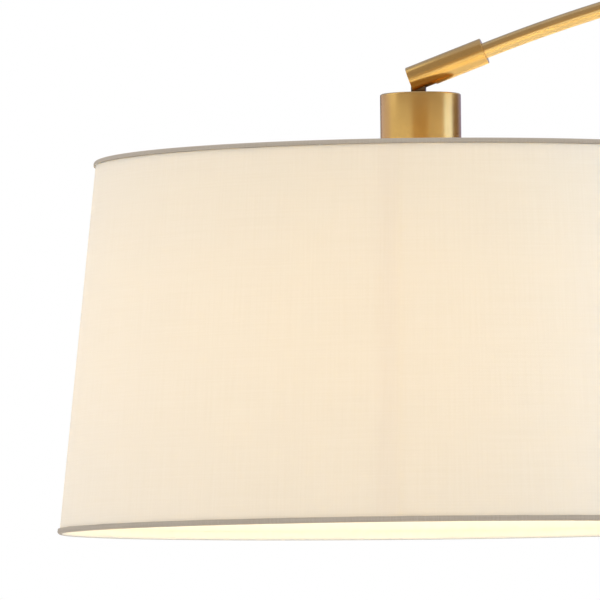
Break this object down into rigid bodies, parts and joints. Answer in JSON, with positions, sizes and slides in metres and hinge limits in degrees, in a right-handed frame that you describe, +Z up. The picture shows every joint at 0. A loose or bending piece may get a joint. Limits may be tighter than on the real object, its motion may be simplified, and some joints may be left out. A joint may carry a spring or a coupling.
{
  "type": "swing arm wall sconce",
  "caption": "Wall sconce with an arched brass arm that swings on a round backplate and carries a tilting linen drum shade on a knuckle.",
  "frame": {"origin": "centre of the mounting bracket's back face, on the wall", "axes": "+Y into the wall, -Y out into the room along the arm at rest, +Z up"},
  "size_m": [0.406, 1.0074, 0.4686],
  "materials": {
    "brass": "brushed, lacquered",
    "steel": "zinc plated",
    "linen": "plain weave, matte",
    "liner": "satin",
    "phenolic": "moulded, semi-gloss",
    "plastic": "moulded, satin",
    "opal": "frosted",
    "nylon": "natural",
    "black_insulation": "satin",
    "white_insulation": "satin",
    "green_insulation": "satin"
  },
  "bodies": {
    "wall": {"mounting_bracket": "steel", "backplate": "brass", "backplate_stud_left": "steel", "backplate_stud_right": "steel", "cap_nut_left": "brass", "cap_nut_right": "brass", "wall_stem": "brass", "stem_washer": "steel", "stem_nut": "steel", "switch_body": "phenolic", "switch_nut": "brass", "wire_connector_line": "plastic", "wire_connector_neutral": "plastic", "supply_lead_line": "black_insulation", "supply_lead_neutral": "white_insulation", "ground_lead": "green_insulation", "ground_screw": "green_insulation", "swing_barrel": "brass", "thrust_washer": "nylon", "fibre_washer": "nylon"},
    "knob": {"switch_shaft": "brass", "switch_knob": "brass"},
    "arm": {"arm_foot": "brass", "foot_set_screw": "steel", "pivot_nut": "steel", "pivot_cap": "brass", "arm_tube": "brass", "arm_lead": "white_insulation", "knuckle_sleeve": "brass", "sleeve_set_screw": "steel", "knuckle_screw": "brass", "knuckle_washer_front": "nylon", "knuckle_washer_back": "nylon"},
    "shade": {"knuckle_tongue": "brass", "socket_cup": "brass", "cup_washer": "steel", "cup_nut": "steel", "socket_body": "phenolic", "screw_shell": "brass", "centre_contact": "brass", "terminal_screw_line": "brass", "terminal_screw_neutral": "brass", "socket_lead_line": "black_insulation", "socket_lead_neutral": "white_insulation", "socket_ring": "phenolic", "bulb_base": "steel", "bulb_housing": "plastic", "led_board": "plastic", "bulb_globe": "opal", "fitter_hub": "steel", "fitter_spoke_1": "steel", "fitter_spoke_2": "steel", "fitter_spoke_3": "steel", "top_ring_wire": "steel", "bottom_ring_wire": "steel", "shade_fabric": "linen", "shade_liner": "liner", "top_hem": "linen", "bottom_hem": "linen"}
  },
  "joints": [
    {"name": "arm_swing", "type": "hinge", "parent": "wall", "child": "arm", "pos_m": [0, -0.058, 0], "axis": [0, 0, 1], "range_deg": [-75, 75]},
    {"name": "shade_tilt", "type": "hinge", "parent": "arm", "child": "shade", "pos_m": [0, -0.80537, 0.3307], "axis": [1, 0, 0], "range_deg": [-60, 20]},
    {"name": "switch_turn", "type": "hinge", "parent": "wall", "child": "knob", "pos_m": [0, 0, -0.038], "axis": [0, -1, 0], "range_deg": [0, 90]}
  ]
}
